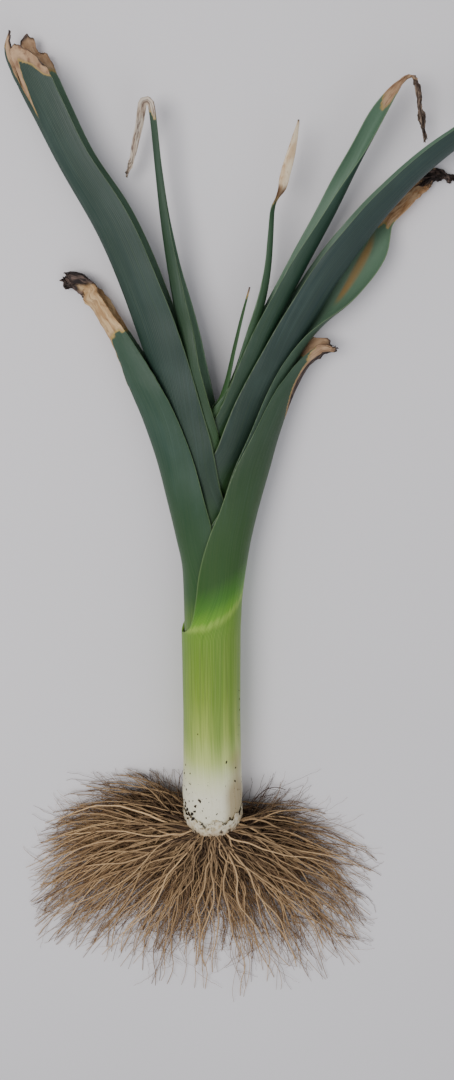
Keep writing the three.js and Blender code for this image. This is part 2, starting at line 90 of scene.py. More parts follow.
# Leaves from the outermost in. side is +1 right, -1 left. A station along a blade is
# (keel x, keel y, keel z, depth, gape, wrap, twist), as the leaf grows, less the zeros at its end.
STATION_MEASURES = 7
LEAVES = [
    dict(node="leaf_right_outer", side=1, throat=188, stations=[
        (23.6, 198, 25.3, 23.5, 23.1, 0.52), (24.7, 222, 25.3, 24.8, 22.9, 0.3),
        (29.5, 260, 25.2, 33, 22.2, 0.03), (35.5, 290, 24.8, 29.2, 20.5), (43, 320, 24, 26, 18),
        (50, 348, 23.2, 19.5, 15.5), (58.5, 374, 21.8, 15, 12.5), (67, 392, 20, 11, 9, 0, 5),
        (73.5, 399.5, 19, 10.5, 8, 0, 10), (79.5, 403.5, 18, 10, 6.5, 0, 15),
        (85, 404.5, 17, 7.5, 5, 0, 20), (90, 406, 16, 3.5, 3, 0, 30)]),
    dict(node="leaf_left_outer", side=-1, throat=215, stations=[
        (-21.6, 245, 25.3, 21.8, 20.6, 0.25), (-25.5, 268, 25.2, 29, 20), (-31.5, 298, 24.8, 28.5, 18.4),
        (-38.5, 330, 24, 27, 15.8), (-48, 361, 23, 24.5, 13), (-57, 384, 21.5, 21.5, 11),
        (-62.5, 400, 19, 17, 9.5), (-67.5, 412, 16, 14, 8.2), (-74.5, 424, 12.6, 12.5, 7.4, 0, 5),
        (-81, 434.5, 9.2, 12, 7, 0, 8), (-86.2, 441.8, 7, 12, 6, 0, 5), (-88.8, 445, 6, 11.5, 5.5),
        (-92.5, 446.4, 5.5, 10.5, 5), (-97, 446.2, 5, 9.5, 4.5), (-100, 446.5, 4.5, 6, 4)]),
    dict(node="leaf_right_second", side=1, throat=250, stations=[
        (20.5, 272, 25.3, 18.6, 18, 0.25), (27, 292, 25, 19.5, 16.8), (34, 320, 24.4, 18, 15),
        (42.5, 348, 23.4, 14.5, 13), (50.5, 375, 22, 11.5, 10.8), (58, 393, 20.5, 9.5, 9.3),
        (66, 409, 18.5, 9, 9, 0, 15), (76, 424, 15.5, 10.5, 11, 0, 35), (91, 446, 12, 10, 13.5, 0, 65),
        (104, 472, 9.5, 8, 15, 0, 75), (114, 491, 7, 6, 9.5, 0, 75), (125, 501.5, 5.5, 4.5, 9, 0, 70),
        (137, 511, 4, 3.4, 7.5, 0, 65), (146, 516, 3, 2.4, 5, 0, 60), (154, 517, 2.2, 1.6, 2.6, 0, 60),
        (163, 515, 1.4, 0.9, 1.1, 0, 60)]),
    dict(node="leaf_left_second", side=-1, throat=272, stations=[
        (-17.2, 286, 25.3, 17, 16, 0.5), (-20.5, 303, 25.1, 26, 15.5, 0.1), (-25.5, 334, 24.5, 29, 14.2),
        (-32, 361, 23.6, 28.5, 12.8), (-40, 390, 22, 28.5, 12), (-48.5, 418, 20.8, 28.5, 11.5, 0, 2),
        (-60.5, 454, 20, 27, 11.5, 0, 3), (-73.5, 485, 19.5, 26, 11, 0, 3),
        (-93.5, 521.5, 18.5, 22.5, 10.5, 0, 3), (-107, 549, 17.5, 23, 10.5, 0, 3),
        (-117.5, 570.5, 16.5, 24, 10.5, 0, 3), (-122.3, 584, 15.5, 23.5, 10, 0, 3),
        (-121.6, 592, 15.2, 21, 9.5, 0, 3), (-118.5, 600.5, 15, 16.5, 8.5, 0, 3)]),
    dict(node="leaf_right_third", side=1, throat=292, stations=[
        (14.2, 303, 25.3, 14.2, 13.6, 0.6), (19.5, 318, 25, 19.5, 13.4, 0.15), (27, 335, 24.5, 22.5, 12.6),
        (34.5, 352, 23.5, 23.5, 11.6), (41.5, 369, 22.2, 23, 10.6), (54.5, 395, 20.8, 22, 10),
        (62, 410, 21.5, 21.5, 9.6), (73.5, 431, 24, 21, 9.5), (84, 450, 26, 20, 9.5),
        (96, 468.5, 27.5, 18.5, 9.5), (109.5, 487.5, 28, 16.5, 9.5), (122, 502.5, 28, 14.5, 9.5),
        (134, 515, 27, 13, 9.5), (149, 527.5, 25, 12, 9), (168, 541, 22, 10.5, 8),
        (188, 554, 18.5, 8.5, 6.5), (206, 564, 15, 6, 4.5), (221, 571, 11.5, 2.5, 2.5)]),
    dict(node="leaf_left_inner", side=-1, throat=330, stations=[
        (-11.5, 347, 25.2, 12, 11, 0.4), (-13.2, 368, 24.6, 15, 9.8, 0.05, 8),
        (-17, 396, 23.5, 14, 8.5, 0, 15), (-21.5, 426, 22, 12, 6.5, 0, 15),
        (-26.5, 458, 21.5, 8.5, 5, 0, 10), (-30.5, 490, 21, 6, 4, 0, 5), (-33, 520, 21, 4.5, 3.2),
        (-34.8, 545, 21, 4, 3), (-36, 555.5, 21, 4.2, 2.4), (-36.9, 557.2, 20.8, 5, 2),
        (-37.4, 554.5, 20.4, 5.2, 1.8), (-39.6, 546.2, 19, 4.6, 1.8), (-43.3, 535, 16.5, 4.2, 1.8),
        (-46.3, 526.8, 14.5, 3, 1.6), (-51.8, 516, 12.5, 1, 1.2)]),
    dict(node="leaf_right_fourth", side=1, throat=326, stations=[
        (9.8, 341, 25.3, 9.4, 8.8, 0.4), (15.5, 354, 25, 12, 8.4, 0.1), (22.5, 370, 24, 13, 8),
        (30, 388, 23.5, 13, 7.6), (37.5, 406, 24, 13, 7.2), (45.5, 424, 25, 12.5, 7),
        (64, 461, 26, 11.5, 7, 0, 5), (84, 500, 25, 9.5, 7, 0, 20), (98, 534, 23, 6.5, 5.5, 0, 60),
        (107, 551, 22, 5.5, 4.8, 0, 60), (115.5, 564, 21, 4, 3.4, 0, 50), (120.8, 570.2, 20, 2.2, 2, 0, 40),
        (124, 572.6, 19.6, 1.3, 1.2, 0, 40), (127.2, 571.2, 19, 1.4, 1.3, 0, 40),
        (129.6, 566, 18.2, 1.9, 1.6, 0, 40), (131, 557.5, 17, 2.1, 1.8, 0, 40),
        (134, 548, 14, 2.1, 1.8, 0, 40), (138.5, 537.5, 10, 1, 1.2, 0, 40)]),
    dict(node="leaf_heart_dry_tip", side=1, throat=348, stations=[
        (10, 361, 25.3, 6.6, 6.1, 0.5), (17, 375, 25, 6.6, 5.6, 0.1), (23, 389, 24.8, 6.4, 5.2),
        (32.5, 420, 25.5, 6.2, 4.4), (38.5, 442, 26, 5.4, 3.6), (41.5, 462, 26, 4.4, 3),
        (42.5, 482, 26, 3.6, 2.6), (43, 497, 26, 2.8, 2.2), (45, 503.5, 26, 2, 1.4),
        (49.8, 509.5, 26, 5.4, 2), (52.3, 518, 26, 6.2, 2.2), (54.6, 527.5, 25.5, 5.6, 2),
        (56.3, 538, 25, 3.8, 1.6), (57.2, 549, 24, 0.9, 0.9)]),
    dict(node="heart_spear", side=-1, throat=345, stations=[
        (1.5, 362, 25.3, 3.7, 3.8, 0.6), (6.5, 374, 25.5, 3.4, 3.5, 0.3), (11.2, 388, 26, 3, 3.1, 0.1),
        (16.5, 411, 26.5, 2.4, 2.4), (21.5, 431, 27, 1.8, 1.8), (27, 450, 27, 0.9, 1)]),
]

# How each leaf looks. columns lie across it. torn is the dark rim's width, crumple how far its creases
# move it, creased how far down they go, spots how rare its stains are, patch one more mark (place, half
# width, distance from the end, half length, strength), and scorch the colours of its dark part. A patch is
# a stain, but on the outermost right leaf it is a tan mark down the bulb's right side, partly stain and
# partly painted shade. The tables give millimetres at places across it, from -1 at the lower margin over 0
# at the keel to 1 at the upper one. cut is how much of the end is torn away, dried how far down it is dry,
# burnt how far down it is dark. rises holds the fresh colours at heights up the leaf, in red, green and
# blue from 0 to 255.
PALE_FOOT = [
    (0, (227, 222, 198)), (42, (225, 221, 196)), (60, (212, 214, 170)), (78, (188, 200, 120)),
    (104, (156, 174, 80)), (140, (118, 146, 40))]
LOOKS = {
    "leaf_right_outer": dict(
        # Its patch is a tan mark down the bulb's right side, partly stain and partly painted shade.
        columns=76, torn=1.6, crumple=0.9, creased=12, paper="pink_tan", patch=(0.2, 0.13, 404, 52, 0.95),
        cut=[(-1, 4), (-0.4, 0), (0.1, 2), (0.5, 0), (1, 5)],
        dried=[(-1, 18), (-0.3, 24), (-0.1, 60), (0, 66), (0.2, 60), (0.3, 54), (0.4, 44), (0.5, 34),
            (0.62, 22), (1, 14)],
        burnt=[(-1, 5), (-0.3, 8), (-0.1, 46), (0, 60), (0.2, 56), (0.3, 50), (0.4, 40), (0.47, 29),
            (0.54, 15), (0.61, 5), (1, 4)],
        rises=PALE_FOOT + [(176, (92, 130, 26)), (192, (88, 132, 24)), (198, (140, 172, 66)),
            (202, (92, 146, 26)), (214, (58, 110, 22)), (232, (38, 76, 22)), (330, (37, 62, 38)),
            (420, (46, 70, 56))]),
    "leaf_left_outer": dict(
        columns=64, torn=1.4, crumple=1.5, creased=22, paper="wheat",
        cut=[(-1, 3), (-0.5, 0), (0, 4), (0.5, 0), (1, 4)],
        dried=[(-1, 48), (-0.3, 56), (-0.1, 84), (0.02, 108), (0.08, 84), (0.14, 60), (0.3, 51), (0.8, 47),
            (1, 50)],
        burnt=[(-1, 14), (0, 20), (0.5, 13), (1, 15)],
        rises=PALE_FOOT + [(150, (96, 134, 38)), (164, (38, 80, 24)), (262, (32, 66, 34)),
            (330, (33, 63, 49)), (460, (42, 70, 50))]),
    "leaf_right_second": dict(
        columns=64, torn=0.6, crumple=1.2, creased=30, paper="orange_tan", patch=(0.12, 0.15, 94, 20, 1),
        cut=[(-1, 0), (0, 1), (1, 0)],
        dried=[(-1, 58), (-0.3, 60), (0.2, 64), (1, 54)],
        burnt=[(-1, 20), (0.2, 27), (1, 17)],
        rises=PALE_FOOT + [(236, (60, 96, 40)), (290, (32, 58, 44)), (400, (44, 68, 52)),
            (520, (56, 78, 60))]),
    "leaf_left_second": dict(
        columns=80, torn=0.9, crumple=0.7, creased=2, paper="pink_tan",
        cut=[(-1, 30), (-0.94, 18), (-0.87, 7), (-0.8, 1), (-0.6, 0), (-0.5, 3), (-0.44, 27), (-0.35, 33),
            (-0.2, 28), (-0.1, 10), (0, 3), (0.2, 3), (0.25, 6), (0.28, 34), (0.31, 40), (0.35, 14),
            (0.45, 9), (0.57, 10), (0.7, 17), (0.82, 25), (1, 36)],
        dried=[(-1, 36), (-0.5, 32), (-0.15, 30), (-0.05, 12), (0.2, 10), (0.25, 30), (0.33, 54),
            (0.38, 42), (0.43, 28), (0.48, 21), (0.7, 29), (1, 42)],
        burnt=[(-1, 0), (-0.7, 0), (-0.6, 5), (-0.5, 9), (-0.42, 0), (1, 0)],
        rises=PALE_FOOT + [(250, (48, 84, 34)), (300, (22, 47, 33)), (380, (28, 51, 45)),
            (640, (36, 56, 48))]),
    "leaf_right_third": dict(
        columns=60, torn=1.0, crumple=0.5, creased=2, paper="cream_tan",
        cut=[(-1, 3), (0, 0), (1, 3)],
        dried=[(-1, 14), (0, 20), (1, 14)],
        burnt=[(-1, 3), (1, 3)],
        rises=PALE_FOOT + [(270, (52, 88, 36)), (320, (24, 46, 36)), (440, (28, 49, 47)),
            (640, (38, 57, 56))]),
    "leaf_left_inner": dict(
        columns=44, torn=0.5, crumple=0.6, creased=6, paper="spotted_cream", spots=0.42,
        cut=[(-1, 3), (0, 0), (1, 3)],
        dried=[(-1, 50), (0, 47), (1, 52)],
        burnt=[(-1, 0), (1, 0)],
        rises=PALE_FOOT + [(310, (52, 88, 36)), (360, (34, 60, 36)), (620, (42, 68, 54))]),
    "leaf_right_fourth": dict(
        columns=44, torn=0.5, crumple=0.65, creased=44, paper="pink_tan",
        scorch=((66, 52, 46), (148, 128, 112)),
        cut=[(-1, 0), (0, 1), (1, 0)],
        dried=[(-1, 58), (-0.2, 66), (0.3, 62), (1, 54)],
        burnt=[(-1, 36), (1, 39)],
        rises=PALE_FOOT + [(310, (52, 88, 36)), (350, (27, 54, 34)), (620, (34, 63, 56))]),
    "leaf_heart_dry_tip": dict(
        columns=32, torn=0.2, crumple=0.15, creased=2, paper="cream", patch=(0, 2, 45, 5, 1),
        cut=[(-1, 0), (0, 0), (1, 0)],
        dried=[(-1, 48), (0, 50), (1, 49)],
        burnt=[(-1, 0), (1, 0)],
        rises=PALE_FOOT + [(330, (62, 98, 42)), (370, (38, 70, 40)), (620, (44, 72, 54))]),
    "heart_spear": dict(
        columns=24, torn=0.2, crumple=0.1, creased=2, paper="wheat",
        cut=[(-1, 0), (0, 0), (1, 0)],
        dried=[(-1, 4), (0, 5), (1, 4)],
        burnt=[(-1, 3), (1, 3)],
        rises=PALE_FOOT + [(330, (62, 98, 42)), (370, (40, 76, 36)), (620, (34, 62, 38))]),
}
NO_PATCH = (0, 1, -99, 1, 0)
USUAL_SPOTS = 0.5
USUAL_SCORCH = ((36, 28, 27), (104, 86, 78))

# Dried leaf, as (pale, middle, stained, patch)
PAPERS = {
    "cream": ((224, 206, 178), (202, 174, 138), (168, 128, 88), (92, 64, 40)),
    "spotted_cream": ((214, 202, 186), (190, 170, 150), (84, 60, 52), (84, 60, 52)),
    "cream_tan": ((192, 158, 112), (152, 106, 62), (94, 60, 38), (120, 84, 50)),
    "wheat": ((202, 172, 130), (166, 130, 90), (124, 88, 58), (120, 84, 50)),
    # pink_tan's patch colour shows only on the outermost right leaf, as its mark down the bulb's right side,
    # partly stain and partly painted shade.
    "pink_tan": ((186, 154, 122), (160, 127, 97), (112, 80, 62), (150, 128, 80)),
    "orange_tan": ((194, 162, 126), (166, 124, 84), (112, 78, 54), (146, 110, 56)),
}

# What a leaf's finish reads at each point
LEAF_VALUES = ("rise", "vein", "across", "dry", "burnt", "climb", "patch")

# Roots: how far they reach all round, as (degrees from straight back, millimetres), left being negative, and
# how they share out over the same angles, as (degrees, share of them up to there)
ROOT_REACH = [
    (-136, 60), (-107, 112), (-90, 140), (-78, 162), (-62, 205), (-50, 262), (-38, 250), (-30, 236),
    (-12, 255), (2, 268), (20, 262), (34, 258), (47, 215), (61, 182), (80, 110), (106, 66)]
ROOT_SHARES = [
    (-116, 0), (-96, 0.015), (-80, 0.055), (-66, 0.15), (-45, 0.34), (-15, 0.52), (15, 0.69), (40, 0.85),
    (56, 0.95), (70, 0.985), (90, 1)]
ROOT_COUNT = 1000
ROOT_JOINTS = 30
ROOT_SIDES = 6
ROOT_SEED = 11
ROOT_RADII = (0.34, 0.8)
LONG_ROOTS = 0.14
CROWN_RADIUS = 16
ROOTED_LENGTH = 26
LEAVING_REACH = 26
LANDING_HEIGHT = 3
LAYERS_HEIGHT = 15
BOX_MARGIN = 0.2

# How the roots sway, as (wavelength, amount)
ROOT_SWAY = [(160, 8.0), (70, 2.2), (28, 0.5), (11, 0.14)]

# Side roots, which branch from the roots
HAIR_COUNT = 5200
HAIR_JOINTS = 9
HAIR_SIDES = 4
HAIR_REACH = (10, 44)
HAIR_RADII = (0.14, 0.27)

# Root buds round the plate, and the plate as (radius, height)
BUD_COUNT = 86
BUD_JOINTS = 6
BUD_SIDES = 8
BUD_SEED = 23
BUD_PLACES = (17.2, 20.6)
BUD_HEIGHTS = (3.4, 5.6)
BUD_REACH = (2.0, 4.6)
BUD_SLANT = (0.1, 0.75)
BUD_RADII = (0.55, 1.05)
PLATE_SIDES = 90
PLATE_PROFILE = [
    (0.5, -4), (4, -3.9), (9, -3.4), (12, -2.4), (15, -1), (17, 0.7), (18.6, 2.4), (19.2, 3.6), (19, 4.6),
    (0.5, 4.6)]

# The torn rest of an older sheath. TORN_EDGE is how its upper edge wavers, as (wavelength, amount, seed).
TORN_COLUMNS = 240
TORN_ROWS = 26
TORN_RADIUS = 26
TORN_TOP = 16
TORN_EDGE = [(16, 3, 61), (5, 1.2, 62), (2.2, 0.5, 63)]
TORN_FOOT = 1.2
LEAST_TORN_HEIGHT = 4
TORN_THICKNESS = 0.42
TORN_GAP = 0.2
FOOT_CORNER = 3.8
CORNER_TOP = 21
CORNER_FOOT = 4

# Soil crumbs that stick to the bulb, as (x, height up the bulb, size), and small ones strewn all round
CRUMB_SEED = 31
CRUMB_ROWS = 7
CRUMB_COLUMNS = 9
CRUMB_SCALE = 1.75
SMALL_CRUMBS = 60
SMALL_CRUMB_HEIGHTS = (9, 60)
SMALL_CRUMB_SIZES = (0.2, 0.45)
SMALL_CRUMB_SCALE = 1.2
CRUMBS = [
    (-23.2, 56, 0.7), (-18.2, 51, 0.8), (-21.7, 42, 0.7), (-10.4, 39, 1.3), (-13.9, 32, 1.1),
    (-14.7, 25.5, 1), (-20, 19, 1.2), (-22.5, 27, 1.1), (-17, 21, 1.3), (-21, 23, 1.2), (-15.6, 17, 1),
    (-18.6, 16, 1.3), (12, 77, 0.8), (19, 53.5, 0.8), (19.4, 66, 0.6), (-5, 22, 0.6), (4, 26.5, 0.6),
    (-18, 62, 0.6), (-22, 66, 0.5), (21.6, 42, 0.5), (-16, 36, 0.5), (-8, 29, 0.5), (-19.4, 33, 0.6),
    (2, 17, 0.7), (9, 14, 0.8), (15, 17, 0.9), (-9, 14, 0.9), (-22.8, 23, 1.2), (-21.5, 20.5, 1.3),
    (-19.5, 17.5, 1.4), (-24, 28, 0.8), (-17.2, 15, 1.1), (-20.4, 14, 1.2), (22, 138, 0.4),
    (22.4, 129, 0.5), (22.6, 118, 0.4), (22.2, 104, 0.4), (21.5, 96, 0.3), (-11, 105, 0.5)]

# Floor, light and camera, in metres. A light is (name, place, aim, size, power, colour).
FLOOR_REACH = 3.0
LIGHTS = [
    ("window_light", (-0.75, 0.6, 1.55), (0, 0.15, 0), 1.0, 21, (1.0, 0.98, 0.96)),
    ("room_fill", (0.9, -0.9, 1.6), (0, 0.1, 0), 1.6, 8, (0.96, 0.97, 1.0))]
SKY_COLOUR = (0.86, 0.88, 0.92, 1)
SKY_STRENGTH = 0.62
CAMERA_PLACE = (0.0125, 0.497, 0.606)
CAMERA_TILT = -24
CAMERA_LENS = 28.27
SENSOR_WIDTH = 36


def srgb(red, green, blue):
    """A colour from 0 to 255 as the light values that a shader takes."""
    def light(value):
        share = value / 255
        return share / 12.92 if share <= 0.04045 else ((share + 0.055) / 1.055) ** 2.4
    return (light(red), light(green), light(blue), 1.0)


def smooth_step(low, high, value):
    share = np.clip((value - low) / (high - low), 0, 1)
    return share * share * (3 - 2 * share)


def unit(vectors):
    return vectors / np.maximum(np.linalg.norm(vectors, axis=-1, keepdims=True), 1e-9)


def joined(*parts):
    """Numbers or arrays side by side along a last axis."""
    return np.stack(np.broadcast_arrays(*parts), axis=-1)


def waves(points, wavelength, seed):
    """A repeatable unevenness from about -1 to 1: slanting waves of about one length, added up."""
    random = np.random.default_rng(seed)
    total = 0
    for _ in range(WAVE_COUNT):
        way = unit(random.normal(size=points.shape[-1]))
        length = wavelength * random.uniform(0.7, 1.5)
        total = total + np.sin(points @ way * (math.tau / length) + random.uniform(0, math.tau))
    return total / math.sqrt(WAVE_COUNT / 2)


# A leaf's shape

def spline(rows, at):
    """A uniform Catmull-Rom curve through rows of numbers, every column at once."""
    index = np.clip(np.floor(at).astype(int), 0, len(rows) - 2)
    u = (at - index)[:, None]

    def row(offset):
        return rows[np.clip(index + offset, 0, len(rows) - 1)]

    before, start, end, after = row(-1), row(0), row(1), row(2)
    slope = end - before
    leaving = after - start
    bend = 3 * (end - start) - slope - leaving / 2
    return start + u * (slope / 2 + u * (bend + u * (2 * (start - end) + (slope + leaving) / 2)))


def shaft_radius(y):
    """The shaft's outer radius, its profile's corners rounded off."""
    heights, radii = np.array(SHAFT_PROFILE, float).T
    return sum(np.interp(y + offset, heights, radii) for offset in (-5, -2.5, 0, 2.5, 5)) / 5


def rings_of(leaf, order):
    """The leaf's rings from foot to tip. sharp is how far up towards the sharpest fold a ring lies."""
    share = (SHAFT_RADIUS - order * SHEATH_STEP) / SHAFT_RADIUS
    throat = leaf["throat"]
    plain = [y for y, _ in SHAFT_PROFILE if y < throat - 20] + [throat]
    heights = np.linspace(SHEATH_FOOT, throat, int((throat - SHEATH_FOOT) / FINE_SPACING))
    radius = shaft_radius(heights) * share
    side = leaf["side"]
    tube = joined(side * radius, heights, AXIS_HEIGHT, radius, radius, 1, 0)
    stations = [station + (0,) * (STATION_MEASURES - len(station)) for station in leaf["stations"]]
    rows = np.array([tube[-1], *stations], float)
    coarse_steps, at = [], []
    for k, (start, end) in enumerate(zip(rows[:-1], rows[1:])):
        length = math.dist(start[:3], end[:3])
        opening = abs(end[5] - start[5]) / OPENING_STEP
        coarse_steps.append(max(1, round(math.dist(start[:2], end[:2]) / RING_SPACING), math.ceil(opening)))
        steps = max(3, math.ceil(length / FINE_SPACING))
        at.extend(k + (j + 1) / steps for j in range(steps))
    at = np.array(at)
    rings = np.vstack([tube, spline(rows, at)])
    coarse_last = len(plain) - 1 + sum(coarse_steps)
    coarse_rows = len(plain) - 1 + np.concatenate([[0], np.cumsum(coarse_steps)])
    coarse_at = np.interp(at, np.arange(len(rows)), coarse_rows)
    sharp = np.concatenate([np.interp(heights, plain, np.arange(len(plain))), coarse_at]) / coarse_last
    keel = rings[:, :3]
    wrap = np.clip(rings[:, 5], 0, 1)
    tangent = unit(np.gradient(keel, axis=0))
    for _ in range(2):
        tangent[1:-1] = unit(tangent[:-2] + 2 * tangent[1:-1] + tangent[2:])
    tangent = unit(tangent * (1 - wrap[:, None]) + np.array([0, 1, 0]) * wrap[:, None])
    rise = np.concatenate([[0], np.cumsum(np.linalg.norm(np.diff(keel, axis=0), axis=1))]) + SHEATH_FOOT
    return {
        "keel": keel, "tangent": tangent, "depth": rings[:, 3], "gape": rings[:, 4], "wrap": wrap,
        "twist": np.radians(rings[:, 6]), "sharp": sharp, "rise": rise,
        "closed": np.arange(len(rings)) < len(tube)}


def section_of(rings, columns):
    """Each ring's section in its own plane: how far in from the keel and across, for both faces."""
    end = (1 + rings["wrap"]) * math.pi / 2
    across = np.linspace(-1, 1, columns + 1)
    angle = end[:, None] * across[None, :]
    rounding = np.clip(1.7 * (1 - rings["sharp"]), rings["wrap"], 1)
    power = (2 / (SHARPEST_FOLD + (2 - SHARPEST_FOLD) * rounding))[:, None]

    def raised(value):
        return np.sign(value) * np.abs(value) ** power

    outer = joined(
        rings["depth"][:, None] * (1 - raised(np.cos(angle))),
        rings["gape"][:, None] * raised(np.sin(angle)))
    along = np.gradient(outer, axis=1)
    seam = outer[:, 1] - outer[:, -2]
    along[rings["closed"], 0] = seam[rings["closed"]]
    along[rings["closed"], -1] = seam[rings["closed"]]
    along = unit(along)
    inward = joined(along[..., 1], -along[..., 0])
    slim = 0.65 * np.minimum(rings["gape"], rings["depth"])
    thickness = BLADE_THICKNESS + (SHEATH_THICKNESS - BLADE_THICKNESS) * rings["wrap"]
    thickness = np.minimum(thickness, slim)[:, None]
    thinning = 1 - (1 - MARGIN_THINNESS) * (1 - rings["wrap"][:, None]) * np.abs(across[None, :]) ** 1.5
    return outer, outer + inward * (thickness * thinning)[..., None], across


def leaf_grid(leaf, order):
    """The leaf's outer and inner face as grids of points in growth millimetres."""
    look = LOOKS[leaf["node"]]
    rings = rings_of(leaf, order)
    up = np.array([0.0, 0.0, 1.0])
    tangent = rings["tangent"]
    front = unit(up - tangent * (tangent @ up)[:, None])
    level = np.cross(front, tangent) * leaf["side"]
    turn_cos, turn_sin = np.cos(rings["twist"])[:, None], np.sin(rings["twist"])[:, None]
    inwards = level * turn_cos + front * turn_sin
    aside = front * turn_cos - level * turn_sin
    outer, inner, across = section_of(rings, look["columns"])

    def placed(section):
        return (rings["keel"][:, None, :] + inwards[:, None, :] * section[..., :1]
                + aside[:, None, :] * section[..., 1:])

    grid = {"side": leaf["side"], "outer": placed(outer), "inner": placed(inner), "closed": rings["closed"]}
    shape = grid["outer"].shape[:2]
    grid["rise"] = np.broadcast_to(rings["rise"][:, None], shape).copy()
    steps = np.linalg.norm(np.diff(outer, axis=1), axis=-1)
    around = np.concatenate([np.zeros((len(steps), 1)), np.cumsum(steps, axis=1)], axis=1)
    around = around - around[:, [look["columns"] // 2]]
    half_way = around[:, -1:]
    past_throat = rings["rise"] - leaf["throat"]
    opening = smooth_step(*VEINS_SPREAD, past_throat)[:, None]
    sheath = math.pi * (SHAFT_RADIUS - order * SHEATH_STEP)
    settled = sheath * (1 - opening) + BLADE_SHARE * sheath * opening
    free = smooth_step(0, VEINS_FREE, past_throat)[:, None]
    grid["vein"] = around * (1 - free + free * settled / np.maximum(half_way, 1))
    grid["across"] = np.broadcast_to(across[None, :], shape).copy()
    return grid


def move_both(grid, shift):
    grid["outer"] = grid["outer"] + shift
    grid["inner"] = grid["inner"] + shift


def wave_margins(grid, seed):
    """Lets the blade's margins waver as they do on a grown leaf."""
    open_share = smooth_step(0, MARGIN_RUN_IN, grid["rise"] - grid["rise"][~grid["closed"]][0, 0])
    hold = np.abs(grid["across"]) ** 3 * open_share
    along = joined(grid["rise"], 20 * np.sign(grid["across"]))
    normal = unit(grid["outer"] - grid["inner"])
    move_both(grid, normal * (MARGIN_WAVE * hold * waves(along, MARGIN_WAVELENGTH, seed))[..., None])


def across_table(table, across):
    places, lengths = np.array(table, float).T
    return np.interp(across, places, lengths)


def tear_end(grid, look, seed):
    """Shortens the blade by another length at each place across it, which leaves its end lobed and torn."""
    across = grid["across"][0]
    ragged = waves(joined(across * 9, across * 4), 1.6, seed + 40)
    cut = across_table(look["cut"], across) + look["crumple"] * (1 + ragged)
    rise = grid["rise"][:, 0].copy()
    last = rise[-1]
    hold = last - TEAR_REACH * cut.max() - TEAR_RUN_IN
    for j, short in enumerate(cut):
        share = (last - short - hold) / (last - hold)
        target = np.where(rise <= hold, rise, hold + (rise - hold) * share)
        for face in ("outer", "inner"):
            line = grid[face][:, j]
            grid[face][:, j] = np.stack([np.interp(target, rise, line[:, k]) for k in range(3)], axis=-1)
        grid["rise"][:, j] = target
    grid["from_end"] = last - grid["rise"]
    grid["from_edge"] = grid["from_end"] - cut[None, :]


def crumple(grid, look, seed):
    """Creases the dry end, most where it is dark, and rolls its torn edge in a little."""
    dried = max(length for _, length in look["dried"])
    creased = look["creased"]
    from_end, from_edge = grid["from_end"], grid["from_edge"]
    strength = 0.35 * smooth_step(dried, 0.3 * dried, from_end) * smooth_step(14, 2, from_edge)
    strength = strength + smooth_step(creased + 8, 0.7 * creased, from_end) * (creased > 3)
    strength = look["crumple"] * np.clip(strength + 0.12 * smooth_step(1.1, 0.7, from_end / dried), 0, 1)
    place = joined(grid["rise"], grid["across"] * HALF_BLADE)
    shift = []
    for k in range(3):
        move = waves(place, FOLD_WAVELENGTH, seed + k) * FOLD_DEPTH
        for wavelength, crest, depth, crease_seed in CREASES:
            move = move + (crest - np.abs(waves(place, wavelength, seed + crease_seed + k))) * depth
        shift.append(move)
    move_both(grid, np.stack(shift, axis=-1) * strength[..., None])
    roll = EDGE_ROLL * look["crumple"] * smooth_step(5, 0, from_edge) * (dried > 12)
    move_both(grid, unit(grid["inner"] - grid["outer"]) * roll[..., None])


def note_values(grid, look, seed):
    """Notes at each point how far up the fresh colours it lies, and how dry, dark and stained it is."""
    across, rise, from_end = grid["across"], grid["rise"], grid["from_end"]
    grid["climb"] = rise - KEEL_LAG * (1 - np.abs(across) ** 0.8) * smooth_step(140, 200, rise)
    uneven = waves(joined(across * HALF_BLADE, rise * 0.2), 6, seed + 3)
    dried = across_table(look["dried"], across)
    grid["dry"] = smooth_step(1.6, -1.6, from_end + 1.2 * uneven - dried)
    burnt = across_table(look["burnt"], across)
    dark = smooth_step(1.5, -1.5, from_end + 1.6 * uneven - burnt) * (burnt > 0)
    rim = smooth_step(1.3, 0.7, (grid["from_edge"] + 0.3 * uneven) / look["torn"])
    grid["burnt"] = np.maximum(dark, rim)
    place, half_width, distance, half_length, strength = look.get("patch", NO_PATCH)
    spread = ((across - place) / half_width) ** 2 + ((from_end - distance) / half_length) ** 2
    grid["patch"] = strength * smooth_step(2.4, 0.0, spread + 0.3 * uneven)


def leaf_mesh(name, grid):
    """One closed mesh from a leaf's grid, its closed tube welded along the seam."""
    rings, columns = grid["outer"].shape[:2]
    points = np.concatenate([grid["outer"].reshape(-1, 3), grid["inner"].reshape(-1, 3)])
    half = rings * columns
    index = np.arange(half).reshape(rings, columns)
    seam = np.arange(2 * half)
    tube = np.flatnonzero(grid["closed"])
    seam[index[tube, -1]] = index[tube, 0]
    seam[half + index[tube, -1]] = half + index[tube, 0]
    a, b, c, d = index[:-1, :-1], index[:-1, 1:], index[1:, 1:], index[1:, :-1]
    opened = ~(grid["closed"][:-1] & grid["closed"][1:])
    low, high = index[:-1][opened], index[1:][opened]
    foot, tip = index[0], index[-1]
    faces = seam[np.concatenate([
        joined(a, b, c, d).reshape(-1, 4),
        joined(b, a, d, c).reshape(-1, 4) + half,
        joined(low[:, 0] + half, low[:, 0], high[:, 0], high[:, 0] + half),
        joined(low[:, -1], low[:, -1] + half, high[:, -1] + half, high[:, -1]),
        joined(foot[1:], foot[:-1], foot[:-1] + half, foot[1:] + half),
        joined(tip[:-1], tip[1:], tip[1:] + half, tip[:-1] + half)])]
    if grid["side"] > 0:
        faces = faces[:, ::-1]
    values = {key: np.concatenate([grid[key].ravel()] * 2) for key in LEAF_VALUES}
    values["inner"] = np.repeat([0.0, 1.0], half)
    return mesh_piece(name, points, faces, values)


